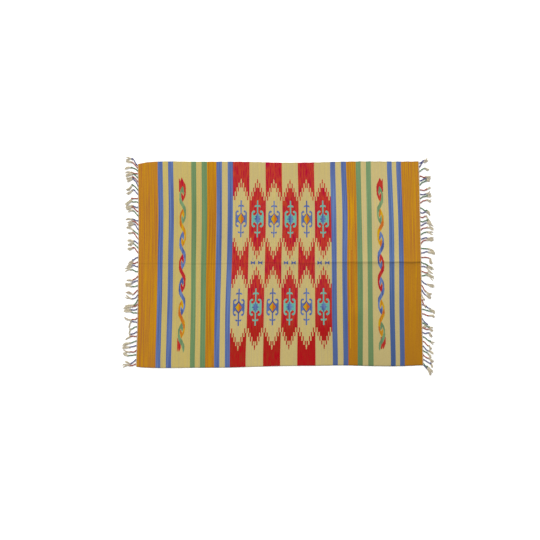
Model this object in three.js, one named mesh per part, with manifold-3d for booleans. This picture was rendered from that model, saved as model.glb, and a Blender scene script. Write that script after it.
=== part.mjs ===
// Kitchen mat: one flat-woven cotton cloth, with a row of knotted, tufted cords at each end.
// Millimetres. X runs along the mat, Y across it, Z is up, and the mat lies on the plane Z = 0.
import * as THREE from "three";
import { mergeVertices } from "three/addons/utils/BufferGeometryUtils.js";
import Module from "manifold-3d";

const wasm = await Module();
wasm.setup();

// The cloth as it was woven, before its edges crept.
const CLOTH_LENGTH = 828;
const CLOTH_WIDTH = 600;
const CLOTH_THICKNESS = 2.4;
const CELL_LENGTH = 26;
const CELL_WIDTH = 31;

// How far the two long edges lie from the middle line, at places along the mat.
const LONG_EDGES = [
  { along: -414, far: 294.5, near: 301.6 },
  { along: -384, far: 300.0, near: 304.0 },
  { along: -235, far: 301.9, near: 304.0 },
  { along: -147, far: 301.3, near: 303.4 },
  { along: -60, far: 299.9, near: 300.5 },
  { along: 0, far: 298.1, near: 298.7 },
  { along: 120, far: 299.0, near: 297.8 },
  { along: 176, far: 301.0, near: 297.0 },
  { along: 264, far: 302.2, near: 299.0 },
  { along: 352, far: 301.6, near: 299.3 },
  { along: 414, far: 301.9, near: 296.6 },
];

// How far the two ends have crept along X from their straight lines, at places across the mat.
const ENDS = [
  { across: -300, left: -5.0, right: 7.5 },
  { across: -274, left: -4.1, right: 6.7 },
  { across: -135, left: -0.3, right: 3.2 },
  { across: 0, left: 1.2, right: 1.2 },
  { across: 136, left: 2.1, right: -1.5 },
  { across: 282, left: 0.3, right: -5.0 },
  { across: 300, left: 0.3, right: -5.6 },
];

// The fold left by storing the mat in two: a valley along X with a low swell on each side of it.
const FOLD = { swellHeight: 1.9, swellAt: 16, reach: 58, valley: 0.2 };

// Places where the cloth stands a little off the floor.
const SWELLS = [
  { along: -290, across: 170, halfLength: 70, halfWidth: 95, height: 1.6 },
  { along: -120, across: -190, halfLength: 90, halfWidth: 60, height: 1.4 },
  { along: 60, across: 205, halfLength: 110, halfWidth: 55, height: 1.8 },
  { along: 215, across: -150, halfLength: 75, halfWidth: 80, height: 1.5 },
  { along: 330, across: 120, halfLength: 55, halfWidth: 100, height: 1.9 },
];
const END_LYING_FLAT = 34;

// Each fringe hangs on a thin twined strip that follows the end of the cloth.
const STRIP_GAP = 0.3;
const STRIP_WIDTH = 2.6;
const STRIP_HEIGHT = 2.1;
const STRIP_STEPS = 24;
const STRIP_SHORT_OF_EDGE = 2;
const FIRST_ROOT = 6;

// A cord's cross-sections from its root to the tip of its tuft, and those of the second lock of the tuft.
const CORD = { width: 3.4, height: 3.0 };
const KNOT = { width: 5.6, height: 4.2, halfLength: 2.4 };
const LOCK = { width: 3.0, height: 2.2, tipWidth: 2.6, tipHeight: 1.1 };
const ROOT_BITE = { depth: 1.6, bottom: 0.5, top: 1.7, width: 2.6 };
const FOUR_SIDED = [-0.62, 0.62];
const THREE_SIDED = [0];

// A cord bends at this share of its reach. The second lock leaves the knot, swells and ends at these
// shares of the tuft, and the tips of the two locks splay this far to either side.
const CORD_BEND_AT = 0.3;
const CORD_BEND = { from: -0.25, to: 1.1 };
const SECOND_LOCK = { rootAt: 0.05, bodyAt: 0.55, bodySplay: 1.7, tipAt: 0.92 };
const LOCK_SPLAY = 2.1;
const KNOT_PITCH = 7.2;
const TIP_PITCH = 8.6;
const KEEP_APART_ROUNDS = 200;

// The most by which the strands of one bunch differ from its row of the table.
const UNEVENNESS = { reach: 1.6, tuft: 2.6, tip: 1.4 };
const UNLIKE = { perStrand: 12.9898, perPurpose: 78.233, spread: 43758.5453 };
const PURPOSE = { tip: 1, reach: 4, tuft: 7 };

// Neighbouring cords lie drawn together in bunches, listed from the far edge to the near edge.
// draw: how far the knots lie towards the far edge from their roots; closing: spacing of the knots
// against that of the roots; reach: cloth to knot; stray: how far the tips lie towards the far edge.
const FRINGES = {
  fringe_left: {
    outward: -1,
    tuft: 21,
    bunches: [
      { strands: 2, draw: 11.7, closing: 0.5, reach: 18, stray: 4 },
      { strands: 3, draw: 2.6, closing: 0.85, reach: 19.5, stray: -6 },
      { strands: 2, draw: 14.7, closing: 0.5, reach: 20, stray: -11 },
      { strands: 2, draw: 10, closing: 1, reach: 21, stray: -12 },
      { strands: 3, draw: -1.8, closing: 0.88, reach: 20.5, stray: -15 },
      { strands: 2, draw: 12, closing: 0.7, reach: 20.5, stray: -6 },
      { strands: 3, draw: 9, closing: 0.65, reach: 18.5, stray: -3 },
      { strands: 2, draw: 13, closing: 0.8, reach: 20, stray: 4 },
      { strands: 3, draw: 9.7, closing: 0.8, reach: 20, stray: -1.8 },
      { strands: 4, draw: -1.5, closing: 0.8, reach: 20, stray: -5.6 },
      { strands: 5, draw: -8.2, closing: 1, reach: 19.5, stray: 2.6 },
      { strands: 4, draw: -5, closing: 0.62, reach: 19, stray: 0 },
      { strands: 2, draw: -2, closing: 0.5, reach: 22, stray: -2 },
      { strands: 2, draw: -7.6, closing: 0.9, reach: 22.5, stray: 0 },
      { strands: 4, draw: -5.6, closing: 1, reach: 22.5, stray: -2.3 },
      { strands: 3, draw: -7.6, closing: 0.9, reach: 23, stray: 4 },
    ],
  },
  fringe_right: {
    outward: 1,
    tuft: 16,
    bunches: [
      { strands: 2, draw: 8, closing: 0.5, reach: 17, stray: 9 },
      { strands: 1, draw: 11.4, closing: 1, reach: 20, stray: -2.4 },
      { strands: 3, draw: 5.3, closing: 0.5, reach: 20, stray: -4 },
      { strands: 2, draw: 1.5, closing: 1, reach: 25, stray: 3 },
      { strands: 2, draw: 11, closing: 1, reach: 25, stray: -4.7 },
      { strands: 3, draw: -5.9, closing: 0.8, reach: 24, stray: -10 },
      { strands: 2, draw: 4.4, closing: 0.6, reach: 24.5, stray: -14 },
      { strands: 2, draw: 6.7, closing: 0.85, reach: 24, stray: -6 },
      { strands: 2, draw: 6.7, closing: 0.7, reach: 26, stray: -1.5 },
      { strands: 2, draw: 0.6, closing: 0.75, reach: 26, stray: -9 },
      { strands: 3, draw: -3.8, closing: 0.75, reach: 26, stray: -11 },
      { strands: 2, draw: -3.2, closing: 0.5, reach: 21, stray: -4 },
      { strands: 3, draw: -11.7, closing: 1.1, reach: 17, stray: -10 },
      { strands: 3, draw: -12, closing: 0.7, reach: 19, stray: -7 },
      { strands: 2, draw: -2.6, closing: 0.85, reach: 24, stray: -8 },
      { strands: 3, draw: -11, closing: 0.7, reach: 22, stray: -3 },
      { strands: 1, draw: -0.9, closing: 1, reach: 22, stray: -6 },
      { strands: 2, draw: -12, closing: 1.1, reach: 22, stray: -4 },
      { strands: 3, draw: -12, closing: 0.8, reach: 21, stray: -7 },
      { strands: 3, draw: -11, closing: 0.8, reach: 20, stray: -12 },
    ],
  },
};

const HALF_LENGTH = CLOTH_LENGTH / 2;
const HALF_WIDTH = CLOTH_WIDTH / 2;

// A smooth function through one column of a table.
function smoothColumn(rows, place, column) {
  const places = rows.map((row) => row[place]);
  const values = rows.map((row) => row[column]);
  const curve = new THREE.CubicInterpolant(places, values, 1);
  return (at) => curve.evaluate(THREE.MathUtils.clamp(at, places[0], places.at(-1)))[0];
}

const farEdge = smoothColumn(LONG_EDGES, "along", "far");
const nearEdge = smoothColumn(LONG_EDGES, "along", "near");
const leftCreep = smoothColumn(ENDS, "across", "left");
const rightCreep = smoothColumn(ENDS, "across", "right");

// Where a point of the woven cloth lies on the floor.
function placeOf(along, across) {
  const share = (along + HALF_LENGTH) / CLOTH_LENGTH;
  const creep = THREE.MathUtils.lerp(leftCreep(across), rightCreep(across), share);
  const halfWidth = across > 0 ? farEdge(along) : nearEdge(along);
  return { x: along + creep, y: (across * halfWidth) / HALF_WIDTH };
}

function foldLift(across) {
  const off = Math.abs(across);
  const { swellHeight, swellAt, reach, valley } = FOLD;
  if (off < swellAt) {
    return THREE.MathUtils.lerp(valley, swellHeight, THREE.MathUtils.smoothstep(off, 0, swellAt));
  }
  return swellHeight * (1 - THREE.MathUtils.smoothstep(off, swellAt, reach));
}

function swellLift(along, across) {
  return SWELLS.reduce((sum, swell) => {
    const far = Math.hypot(
      (along - swell.along) / swell.halfLength,
      (across - swell.across) / swell.halfWidth,
    );
    return sum + swell.height * (1 - THREE.MathUtils.smoothstep(far, 0, 1));
  }, 0);
}

// How far the underside stands off the floor. The ends of the cloth lie flat.
function liftOf(along, across) {
  const fromEnd = HALF_LENGTH - Math.abs(along);
  const freeOfEnd = THREE.MathUtils.smoothstep(fromEnd, 0, END_LYING_FLAT);
  return freeOfEnd * (foldLift(across) + swellLift(along, across));
}

function evenSteps(from, to, size) {
  const count = Math.round(Math.abs(to - from) / size);
  return Array.from({ length: count + 1 }, (_, i) => THREE.MathUtils.lerp(from, to, i / count));
}

// The lines of the grid across the mat: close together at the fold, wide elsewhere.
function linesAcross() {
  const { swellAt, reach } = FOLD;
  const side = [...evenSteps(HALF_WIDTH, reach, CELL_WIDTH), (swellAt + reach) / 2, swellAt, swellAt / 2];
  return [...side, 0, ...side.map((across) => -across).reverse()];
}

function geometryOf(positions, triangles) {
  const geometry = new THREE.BufferGeometry();
  geometry.setAttribute("position", new THREE.Float32BufferAttribute(positions, 3));
  geometry.setIndex(triangles);
  return geometry;
}

// A sheet over the grid: an upper and a lower layer of points, joined round the rim.
function clothGeometry() {
  const alongs = evenSteps(-HALF_LENGTH, HALF_LENGTH, CELL_LENGTH);
  const acrosses = linesAcross();
  const columns = alongs.length;
  const rows = acrosses.length;
  const positions = [];
  for (const height of [CLOTH_THICKNESS, 0]) {
    for (const across of acrosses) {
      for (const along of alongs) {
        const { x, y } = placeOf(along, across);
        positions.push(x, y, height + liftOf(along, across));
      }
    }
  }
  const triangles = [];
  const upper = (row, column) => row * columns + column;
  const lower = (row, column) => rows * columns + upper(row, column);
  for (let row = 0; row < rows - 1; row++) {
    for (let column = 0; column < columns - 1; column++) {
      const corners = [
        [row, column],
        [row + 1, column],
        [row + 1, column + 1],
        [row, column + 1],
      ];
      const [a, b, c, d] = corners.map(([r, k]) => upper(r, k));
      const [e, f, g, h] = corners.map(([r, k]) => lower(r, k));
      triangles.push(a, b, c, a, c, d, e, g, f, e, h, g);
    }
  }
  const wall = (rim) => {
    for (let i = 0; i < rim.length - 1; i++) {
      const [from, to] = [rim[i], rim[i + 1]];
      triangles.push(upper(...from), lower(...to), lower(...from));
      triangles.push(upper(...from), upper(...to), lower(...to));
    }
  };
  const everyColumn = alongs.map((_, column) => column);
  const everyRow = acrosses.map((_, row) => row);
  wall(everyColumn.map((column) => [0, column]));
  wall(everyRow.map((row) => [row, columns - 1]));
  wall(everyColumn.map((column) => [rows - 1, column]).reverse());
  wall(everyRow.map((row) => [row, 0]).reverse());
  return geometryOf(positions, triangles);
}

// A closed solid through sections of three or four corners, each given as its corners in turn.
function loftGeometry(sections) {
  const sides = sections[0].length;
  const positions = sections.flat(2);
  const triangles = [];
  for (let s = 0; s < sections.length - 1; s++) {
    for (let k = 0; k < sides; k++) {
      const next = (k + 1) % sides;
      const [a, b] = [s * sides + k, s * sides + next];
      const [c, d] = [a + sides, b + sides];
      triangles.push(a, d, b, a, c, d);
    }
  }
  const last = (sections.length - 1) * sides;
  for (let k = 1; k < sides - 1; k++) {
    triangles.push(0, k, k + 1, last, last + k + 1, last + k);
  }
  return geometryOf(positions, triangles);
}

function solidOf(geometry) {
  const merged = mergeVertices(geometry, 1e-4);
  const mesh = new wasm.Mesh({
    numProp: 3,
    vertProperties: new Float32Array(merged.attributes.position.array),
    triVerts: new Uint32Array(merged.index.array),
  });
  return new wasm.Manifold(mesh);
}

function geometryFromSolid(solid) {
  const mesh = solid.getMesh();
  return geometryOf(Array.from(mesh.vertProperties), Array.from(mesh.triVerts));
}

// A strand along a path on the floor, { x, y, width, bottom, top } at each section. topSides says
// where a section's upper corners stand between its right side, -1, and its left side, 1.
function strandSolid(path, topSides) {
  const sections = path.map((here, i) => {
    const before = path[Math.max(i - 1, 0)];
    const after = path[Math.min(i + 1, path.length - 1)];
    const heading = new THREE.Vector2(after.x - before.x, after.y - before.y).normalize();
    const aside = new THREE.Vector2(-heading.y, heading.x).multiplyScalar(here.width / 2);
    const corner = (side, z) => [here.x + side * aside.x, here.y + side * aside.y, z];
    const lower = [1, -1].map((side) => corner(side, here.bottom));
    const upper = topSides.map((side) => corner(side, here.top));
    return [...lower, ...upper];
  });
  return solidOf(loftGeometry(sections));
}

// A repeatable number between -1 and 1: a slow wave sampled far apart gives unlike neighbours.
function uneven(strand, purpose) {
  const wave = Math.sin(strand * UNLIKE.perStrand + purpose * UNLIKE.perPurpose) * UNLIKE.spread;
  return 2 * (wave - Math.floor(wave)) - 1;
}

// Where each strand of a fringe has its root, its knot and its tip across the mat, and its reach.
function layOut({ outward, tuft, bunches }) {
  const count = bunches.reduce((sum, bunch) => sum + bunch.strands, 0);
  const firstAcross = HALF_WIDTH - FIRST_ROOT;
  const pitch = (2 * firstAcross) / (count - 1);
  const strands = [];
  for (const bunch of bunches) {
    const first = strands.length;
    const middle = firstAcross - (first + (bunch.strands - 1) / 2) * pitch;
    for (let i = 0; i < bunch.strands; i++) {
      const strand = first + i;
      const root = firstAcross - strand * pitch;
      const knot = middle + (root - middle) * bunch.closing + bunch.draw;
      strands.push({
        root,
        knot,
        tip: knot + bunch.stray + UNEVENNESS.tip * uneven(strand, PURPOSE.tip + outward),
        reach: bunch.reach + UNEVENNESS.reach * uneven(strand, PURPOSE.reach + outward),
        tuft: tuft + UNEVENNESS.tuft * uneven(strand, PURPOSE.tuft + outward),
      });
    }
  }
  keepApart(strands, "knot", KNOT_PITCH);
  keepApart(strands, "tip", TIP_PITCH);
  return strands;
}

// Moves neighbours off each other evenly until none is closer than the pitch.
function keepApart(strands, what, pitch) {
  for (let round = 0; round < KEEP_APART_ROUNDS; round++) {
    for (let i = 1; i < strands.length; i++) {
      const missing = pitch - (strands[i - 1][what] - strands[i][what]);
      if (missing > 0) {
        strands[i - 1][what] += missing / 2;
        strands[i][what] -= missing / 2;
      }
    }
  }
}

// One cord with its knot and the two locks of its tuft.
function cordSolid(strand, outward) {
  const { x: endX, y: rootY } = placeOf(outward * HALF_LENGTH, strand.root);
  const rootX = endX + outward * (STRIP_GAP + STRIP_WIDTH);
  const knotX = endX + outward * strand.reach;
  const tipX = knotX + outward * strand.tuft;
  const onTuft = (share, aside = 0) => ({
    x: THREE.MathUtils.lerp(knotX, tipX, share),
    y: THREE.MathUtils.lerp(strand.knot, strand.tip, share) + aside,
  });
  const bend = THREE.MathUtils.smoothstep(CORD_BEND_AT, CORD_BEND.from, CORD_BEND.to);
  const bendX = THREE.MathUtils.lerp(rootX, knotX, CORD_BEND_AT);
  const bendY = THREE.MathUtils.lerp(rootY, strand.knot, bend);
  const cord = { width: CORD.width, bottom: 0, top: CORD.height };
  const lock = { width: LOCK.width, bottom: 0, top: LOCK.height };
  const tip = { width: LOCK.tipWidth, bottom: 0, top: LOCK.tipHeight };
  const root = { width: ROOT_BITE.width, bottom: ROOT_BITE.bottom, top: ROOT_BITE.top };
  const main = [
    { x: rootX - outward * ROOT_BITE.depth, y: rootY, ...root },
    { x: bendX, y: bendY, ...cord },
    { x: knotX - outward * KNOT.halfLength, y: strand.knot, ...cord },
    { x: knotX, y: strand.knot, width: KNOT.width, bottom: 0, top: KNOT.height },
    { ...onTuft(KNOT.halfLength / strand.tuft), ...lock },
    { ...onTuft(1, -LOCK_SPLAY), ...tip },
  ];
  const second = [
    { ...onTuft(SECOND_LOCK.rootAt), ...root },
    { ...onTuft(SECOND_LOCK.bodyAt, SECOND_LOCK.bodySplay), ...lock },
    { ...onTuft(SECOND_LOCK.tipAt, LOCK_SPLAY), ...tip },
  ];
  return strandSolid(main, FOUR_SIDED).add(strandSolid(second, THREE_SIDED));
}

// The strip that follows the cloth's end, with every cord of that end fused into it.
function fringeGeometry(fringe) {
  const { outward } = fringe;
  const lastAcross = HALF_WIDTH - STRIP_SHORT_OF_EDGE;
  const sections = evenSteps(lastAcross, -lastAcross, (2 * lastAcross) / STRIP_STEPS).map((across) => {
    const { x, y } = placeOf(outward * HALF_LENGTH, across);
    const inner = x + outward * STRIP_GAP;
    const outer = inner + outward * STRIP_WIDTH;
    const corners = [
      [inner, y, 0],
      [outer, y, 0],
      [outer, y, STRIP_HEIGHT],
      [inner, y, STRIP_HEIGHT],
    ];
    return outward > 0 ? corners.reverse() : corners;
  });
  const strip = solidOf(loftGeometry(sections));
  const joined = layOut(fringe).reduce((sum, strand) => sum.add(cordSolid(strand, outward)), strip);
  return geometryFromSolid(joined);
}

function pieceOf(name, geometry, color, roughness) {
  const material = new THREE.MeshStandardMaterial({ color, roughness, metalness: 0 });
  const mesh = new THREE.Mesh(geometry, material);
  mesh.name = name;
  return mesh;
}

const mat = new THREE.Group();
mat.add(pieceOf("mat", clothGeometry(), 0xc6b170, 0.9));
for (const [name, fringe] of Object.entries(FRINGES)) {
  mat.add(pieceOf(name, fringeGeometry(fringe), 0xb9afa0, 0.92));
}

// The origin is under the middle of the whole mat, fringes included.
const middle = new THREE.Box3().setFromObject(mat).getCenter(new THREE.Vector3());
mat.position.set(-middle.x, -middle.y, 0);

export default mat;
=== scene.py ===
"""The kitchen mat as it looks: a flat-woven cotton cloth with a knotted, tufted fringe at each end.

The tables are in millimetres and the scene is in metres. X runs along the mat, Y across it, Z is up."""

import math
import random
from bisect import bisect_right

import bpy
import numpy as np
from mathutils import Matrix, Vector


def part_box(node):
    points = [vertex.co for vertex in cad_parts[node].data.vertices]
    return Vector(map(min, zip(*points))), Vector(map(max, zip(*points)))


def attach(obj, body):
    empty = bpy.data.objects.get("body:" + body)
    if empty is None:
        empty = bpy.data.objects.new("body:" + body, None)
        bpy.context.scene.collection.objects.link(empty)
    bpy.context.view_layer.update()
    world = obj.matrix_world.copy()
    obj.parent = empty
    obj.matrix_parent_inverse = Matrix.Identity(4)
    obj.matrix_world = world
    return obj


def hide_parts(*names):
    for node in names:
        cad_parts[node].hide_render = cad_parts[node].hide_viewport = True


MM = 0.001

# The cloth as it was woven, before its edges crept.
CLOTH_LENGTH = 828
CLOTH_WIDTH = 600
CLOTH_THICKNESS = 2.4
HALF_LENGTH = CLOTH_LENGTH / 2
HALF_WIDTH = CLOTH_WIDTH / 2

# The steps in which the long edges of the cloth's solid are drawn.
SOLID_STEPS = 32

# How far the far and the near long edge lie from the middle line, at places along the mat.
LONG_EDGES = [
    (-414, 293.6, 301.6),
    (-384, 298.8, 304.0),
    (-235, 300.0, 304.0),
    (-147, 300.2, 303.4),
    (-60, 299.0, 300.8),
    (0, 297.3, 299.1),
    (120, 298.2, 298.1),
    (176, 300.0, 297.0),
    (264, 301.0, 299.0),
    (352, 300.5, 299.3),
    (414, 300.9, 296.6),
]

# How far the left and the right end have crept along X, at places across the mat.
ENDS = [
    (-300, -5.0, 7.5),
    (-274, -4.1, 6.7),
    (-135, -0.3, 3.2),
    (0, 1.2, 1.2),
    (136, 2.1, -1.5),
    (282, 0.3, -5.0),
    (300, 0.3, -5.6),
]

# How far the weft lines have crept along X from where they cross the middle row, at places along
# the mat, for the rows of DRIFT_ROWS.
DRIFT_ROWS = (-274, -135, 136, 282)
DRIFT = [
    (-413, -5.3, -1.5, 0.9, -0.9),
    (-326, -6.5, -2.6, 2.3, 0.0),
    (-259, -3.8, -0.9, 1.2, 0.0),
    (-214, -3.2, -1.5, 2.6, 2.3),
    (-170, -5.6, -3.5, 2.1, 2.1),
    (-139, -5.9, -5.0, 2.9, 3.2),
    (-91, -7.9, -3.6, 2.8, 3.5),
    (-41, -5.3, -2.9, 2.9, 2.0),
    (6, -3.8, -0.6, 2.9, 1.2),
    (56, -2.9, -1.0, 1.5, -1.2),
    (104, 1.8, 0.6, 0.0, -2.6),
    (154, 3.2, 0.6, -1.8, -5.0),
    (200, 3.5, 1.6, 1.2, -3.4),
    (243, 0.3, 0.9, -2.6, -5.9),
    (273, 3.8, 1.5, -1.5, -4.4),
    (323, 4.4, 1.2, -1.8, -7.3),
    (366, 2.9, 0.9, -3.2, -8.5),
    (415, 5.6, 2.0, -2.6, -6.2),
]

# The weft that lies at a point is found in a few rounds.
WEFT_ROUNDS = 3

# The fold left by storing the mat in two: a ridge, and along its top a crease pressed into the face.
# Both grow between two places along the mat, and the crease line gives how far across it they lie.
FOLD = {
    "height_left": 0.3,
    "height_right": 3.3,
    "far_reach": 20,
    "near_reach": 10,
    "end": 12,
    "least_at_end": 0.3,
}
FOLD_GROWS = (-200, 414)
CREASE = {"half_width": 3.2, "depth_left": 0.4, "depth_right": 0.8, "wander": 0.4}
CREASE_DEEPENS = (100, 300)
CREASE_LINE = [(-414, 0), (-100, 0.2), (-36, 3.8), (10, 2), (60, 0.8), (110, 1.2), (150, 3.6), (414, 4.2)]

# Where else the cloth stands off the floor.
SWELLS = [
    {"along": -290, "across": 170, "half_length": 70, "half_width": 95, "height": 1.6},
    {"along": -120, "across": -190, "half_length": 90, "half_width": 60, "height": 1.4},
    {"along": 60, "across": 205, "half_length": 110, "half_width": 55, "height": 1.8},
    {"along": 215, "across": -150, "half_length": 75, "half_width": 80, "height": 1.5},
    {"along": 330, "across": 120, "half_length": 55, "half_width": 100, "height": 1.9},
    {"along": 225, "across": -140, "half_length": 38, "half_width": 42, "height": 2.2},
]
END_LYING_FLAT = 34
COCKLE_HEIGHT = 0.4

# The long edges wander in two waves, given by their turn for each millimetre.
EDGE_WANDER = {"depth": 0.35, "reach": 12, "turns": (0.61, 0.23), "far_start": 2}

# The grid of the cloth: its cells, the finer ones of the crease, and the steps in from the rim.
CELL = 7.5
CREASE_CELL = 1.6
CREASE_REACH = 16
RIM_STEPS = (0, 0.12, 0.36, 0.7, 1.2)

# One bead of the weave: a weft passes over one warp, and each row of beads is half a bead along.
# The bead's own rounding has a share in the relief, and its rib has the rest.
RIB_WIDTH = 1.7
BEAD_LENGTH = 0.9
BEAD_RELIEF = 0.3
BEAD_SHARE = 0.4

# Each dyed yarn runs between two tones from one batch to the next. A third tone is the deeper one
# that it has in the near right of the mat.
YARNS = {
    "orange": ((200, 142, 2), (168, 104, 48)),
    "amber": ((202, 144, 0), (166, 102, 34)),
    "tan": ((206, 150, 6), (164, 98, 46), (182, 119, 16)),
    "honey": ((199, 143, 12), (172, 108, 46), (183, 122, 22)),
    "blue": ((104, 126, 174), (72, 88, 144), (80, 100, 150)),
    "denim": ((102, 126, 174), (76, 100, 150), (66, 90, 138)),
    "navy": ((82, 92, 152), (56, 64, 118)),
    "green": ((122, 153, 108), (104, 134, 95), (97, 130, 83)),
    "leaf": ((117, 148, 101), (98, 128, 86)),
    "olive": ((127, 158, 112), (109, 139, 99), (110, 138, 89)),
    "straw": ((201, 180, 98), (187, 168, 112)),
    "sand": ((203, 183, 112), (190, 172, 122)),
    "cream": ((206, 186, 116), (192, 177, 130)),
    "red": ((174, 4, 48), (190, 64, 34)),
    "brick": ((178, 2, 22), (162, 46, 22)),
    "teal": ((120, 184, 160), (96, 168, 158)),
    "gold": ((202, 158, 14), (192, 102, 34)),
}
CLOTH_GIVES_BACK = 0.727

# Uneven dyeing and wear, as noise: its turns for each millimetre, where it starts, and how strongly
# it shows.
STREAKS = {"along": 0.5, "across": 0.004, "start": 0, "detail": 2, "contrast": 3.8}
PATCHES = {"along": 0.16, "across": 0.03, "start": 31, "detail": 1, "contrast": 7}
DASHES = {"along": 0.45, "across": 0.035, "start": 60, "detail": 1, "contrast": 4.2}
FADING = {"along": 0.011, "across": 0.009, "start": 0, "detail": 1, "depth": 0.08}
GRAIN = 0.1

# Past the fold and towards the near right corner the right stripes turn to their deeper tones,
# and painted shade darkens the cloth, as if the fold's near side and that corner had less light.
CORNER = {
    "fold_width": 6,
    "near": 290,
    "right_from": -60,
    "right": 330,
    "deep_past_fold": 0.3,
    "deep_near": 0.5,
    "painted_shade_past_fold": 0.05,
    "painted_shade_near": 0.09,
}
# Painted shade along the long edges: how far in it reaches, how much darker, and how much more to the right.
SELVEDGE_SHADE = {"width": 3, "darker": 0.12, "right_darker": 0.14}
# Painted shade along the crease: its half width, how much wider to the right, how dark, and how much darker
# to the right.
CREASE_SHADE = {"half_width": 3.4, "right_wider": 1.2, "darker": 0.1, "right_darker": 0.36}
CREASE_WANDER = {"along": 0.03, "across": 0, "start": 0, "detail": 1, "reach": 3}

# The weft stripes of each end, from the left: where each begins along the mat, and its yarn.
LEFT_STRIPES = [
    (-414, "orange"),
    (-356.8, "blue"),
    (-342.5, "straw"),
    (-326.0, "blue"),
    (-311.3, "straw"),
    (-259.1, "leaf"),
    (-244.2, "straw"),
    (-230.0, "leaf"),
    (-214.7, "amber"),
    (-186.8, "blue"),
    (-170.6, "sand"),
    (-154.2, "blue"),
]
RIGHT_STRIPES = [
    (154.3, "blue"),
    (168.5, "cream"),
    (183.9, "blue"),
    (198.9, "tan"),
    (228.5, "green"),
    (243.6, "cream"),
    (258.7, "olive"),
    (272.0, "cream"),
    (322.0, "denim"),
    (337.4, "cream"),
    (350.9, "blue"),
    (365.1, "honey"),
]

# The middle field: six columns, red and sand by turns, each with two toothed lozenges. A lozenge is
# given by its centre and its half length.
FIELD_START = -138.8
FIELD_END = 154.3
FIELD_LEAN = 1.2
COLUMNS = 6
LOZENGES = ((131.9, 118.7), (-128.85, 122.35))
TOOTH = {
    "rows": 5,
    "row": 12.72,
    "first": 2.73,
    "step": 5.37,
    "slit_from": 6.5,
    "slit_to": 3.3,
    "tip": 0.9,
    "tip_flare": 0.11,
    "spot": 3.2,
    "spot_shows": 0.45,
}
BRICK = {"from": -145, "over": 50, "last_column": 4, "fewer_dashes": 0.45}

# The hooked medallion, by the way aside of its middle and the way off up or down.
MEDALLION_ROWS = (132.6, -126.2)
MEDALLION = {
    "half_width": 16.9,
    "sand_wider": 0.7,
    "body": 10.4,
    "diamond": (16, 19.4),
    "hook": {"aside": 10, "from": 15.5, "round": 9.4},
    "pocket": {"aside": 10.7, "off": 14.6, "width": 2.6, "height": 3.9},
    "blob": {"aside": 9.8, "off": 21.7, "radius": 2.8},
    "stem": {"half_width": 1.9, "from": 18, "to": 54.6},
    "arm": {"reach": 8.7, "off": 38.8, "inward_further": 2.2, "bend": 0.03, "half_width": 2, "flare": 0.06},
}

# The diamonds within the medallions, by half width and half height. The hearts and the stars of the
# near row differ a little, and their tones go by dye lot and by the half they lie in.
OUTLINE = (11.6, 19.4)
HEART = {"half_width": 9.4, "half_height": 16.5, "near_lower": 3, "by_lot": 0.15, "by_half": 0.85}
STAR = {
    "ray": (5.6, 20),
    "near_lower": 2.5,
    "arm": (10.8, 6.6),
    "near_wider": 1,
    "point": (8.4, 4.4),
    "point_off": 6.6,
    "by_lot": 0.6,
    "by_half": 0.4,
}
BOW = {"across": 3.6, "aside": 11, "half_length": 6.4, "waist": 1.5, "flare": 0.75}
BOW_RAY = {"half_width": 1, "from": 6, "to": 15, "shows": 0.35}

# The two chains of hooked links. A link is the same turned half round, so one half is drawn: each
# line gives where a boundary stands aside of the chain's middle, by the way down from the link's tip.
CHAINS = {"left": -284, "right": 298}
LINK = {"count": 7, "first_tip": 228.3, "pitch": 66.2, "half": 56.3}
HOOK_OUTSIDE = [(0, 0), (11.1, -6.2), (22, -9.4), (40.5, -10), (49.9, -8.8), (56.3, -5.4)]
BARB_INSIDE = [(0, 0), (5.9, 2.9), (15, 4.1), (20.5, 4.4), (27.3, 2.6)]
ARM_INSIDE = [(16.4, -2.3), (26.1, -4.7), (33.7, -4.7), (44.9, -0.9), (48.7, 1.5), (56.3, 5.4)]
BARB_SLIT = [(16.4, -2.3), (27.3, 2.6)]
LAST_LINK = {"tip": 21.8, "aside": 7, "taper": 0.27}

# The middle link is red. The others, from it outward, are of these yarns.
LINK_YARNS = ("blue", "gold", "green")

# The forked flag at the far end of each chain and the forked tail at its near end. A pair is for the
# left chain and for the right one.
FLAG = {
    "outer": -10.3,
    "inner": 5,
    "base": 211.2,
    "tip": 254.4,
    "tip_aside": -2.3,
    "slant": 0.47,
    "fork": 242.5,
    "fork_aside": -6.5,
    "fork_steep": (2.6, 2.1),
}
TAIL = {
    "outer": -11.1,
    "outer_bend": -233,
    "outer_slant": (0, 0.43),
    "inner": (-0.5, 4),
    "inner_from": -239.1,
    "inner_start": (-0.15, 11.85),
    "inner_slant": 0.303,
    "base": -214.2,
    "fork": (-244, -242.6),
    "fork_aside": (-8.2, -1.1),
    "fork_steep": 5.2,
    "end": (-253.5, -250.5),
}

# Single wefts of an odd dye: their place, half width, where they run from and to, and their tone.
ODD_WEFTS = [
    (206.6, 1.1, (-250, 100), (212, 164, 4)),
    (212.6, 0.8, (-120, 40), (170, 84, 34)),
    (200.4, 0.9, (-300, -170), (186, 70, 26)),
    (-402.5, 0.8, (-300, 300), (170, 92, 50)),
    (-393.1, 0.8, (-60, 300), (204, 150, 4)),
    (-208.0, 0.8, (-300, 140), (176, 98, 34)),
    (401.3, 0.8, (-40, 300), (204, 150, 10)),
]
ODD_WEFT_SHOWS = 0.7

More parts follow.
